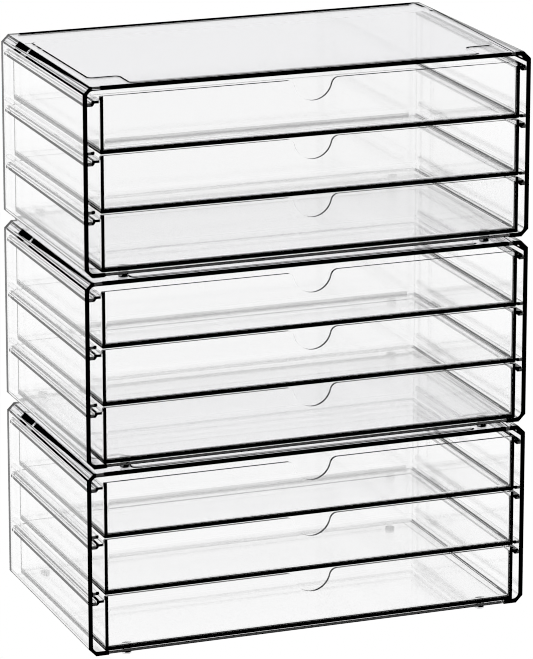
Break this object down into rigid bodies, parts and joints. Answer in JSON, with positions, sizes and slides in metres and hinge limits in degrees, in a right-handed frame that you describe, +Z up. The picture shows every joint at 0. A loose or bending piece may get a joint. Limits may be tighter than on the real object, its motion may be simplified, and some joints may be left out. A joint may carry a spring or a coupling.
{
  "type": "stacking drawer organiser",
  "caption": "Clear plastic desktop organiser: stacked open-front casings with shallow slide-out drawers, each with a scooped finger pull, for craft stamps and small parts.",
  "frame": {"origin": "on the surface it stands on, under the centre of the stack with its drawers shut", "axes": "+Z up, -Y out of the drawer fronts, +X to the right as seen from the front"},
  "size_m": [0.305, 0.1764, 0.378],
  "materials": {
    "casing": "clear, polished, moulded",
    "drawer": "clear, polished, moulded",
    "foot": "clear, soft"
  },
  "bodies": {
    "lower_unit": {"lower_casing": "casing", "lower_front_left_foot": "foot", "lower_front_right_foot": "foot", "lower_back_left_foot": "foot", "lower_back_right_foot": "foot"},
    "lower_bottom_drawer": {"lower_bottom_drawer": "drawer"},
    "lower_centre_drawer": {"lower_centre_drawer": "drawer"},
    "lower_top_drawer": {"lower_top_drawer": "drawer"},
    "middle_unit": {"middle_casing": "casing", "middle_front_left_foot": "foot", "middle_front_right_foot": "foot", "middle_back_left_foot": "foot", "middle_back_right_foot": "foot"},
    "middle_bottom_drawer": {"middle_bottom_drawer": "drawer"},
    "middle_centre_drawer": {"middle_centre_drawer": "drawer"},
    "middle_top_drawer": {"middle_top_drawer": "drawer"},
    "upper_unit": {"upper_casing": "casing", "upper_front_left_foot": "foot", "upper_front_right_foot": "foot", "upper_back_left_foot": "foot", "upper_back_right_foot": "foot"},
    "upper_bottom_drawer": {"upper_bottom_drawer": "drawer"},
    "upper_centre_drawer": {"upper_centre_drawer": "drawer"},
    "upper_top_drawer": {"upper_top_drawer": "drawer"}
  },
  "joints": [
    {"name": "lower_bottom_slide", "type": "slide", "parent": "lower_unit", "child": "lower_bottom_drawer", "axis": [0, -1, 0], "range_m": [0, 0.125]},
    {"name": "lower_centre_slide", "type": "slide", "parent": "lower_unit", "child": "lower_centre_drawer", "axis": [0, -1, 0], "range_m": [0, 0.125]},
    {"name": "lower_top_slide", "type": "slide", "parent": "lower_unit", "child": "lower_top_drawer", "axis": [0, -1, 0], "range_m": [0, 0.125]},
    {"name": "middle_bottom_slide", "type": "slide", "parent": "middle_unit", "child": "middle_bottom_drawer", "axis": [0, -1, 0], "range_m": [0, 0.125]},
    {"name": "middle_centre_slide", "type": "slide", "parent": "middle_unit", "child": "middle_centre_drawer", "axis": [0, -1, 0], "range_m": [0, 0.125]},
    {"name": "middle_top_slide", "type": "slide", "parent": "middle_unit", "child": "middle_top_drawer", "axis": [0, -1, 0], "range_m": [0, 0.125]},
    {"name": "upper_bottom_slide", "type": "slide", "parent": "upper_unit", "child": "upper_bottom_drawer", "axis": [0, -1, 0], "range_m": [0, 0.125]},
    {"name": "upper_centre_slide", "type": "slide", "parent": "upper_unit", "child": "upper_centre_drawer", "axis": [0, -1, 0], "range_m": [0, 0.125]},
    {"name": "upper_top_slide", "type": "slide", "parent": "upper_unit", "child": "upper_top_drawer", "axis": [0, -1, 0], "range_m": [0, 0.125]},
    {"name": "middle_lift", "type": "slide", "parent": "lower_unit", "child": "middle_unit", "axis": [0, 0, 1], "range_m": [0, 0.04]},
    {"name": "upper_lift", "type": "slide", "parent": "middle_unit", "child": "upper_unit", "axis": [0, 0, 1], "range_m": [0, 0.04]}
  ]
}
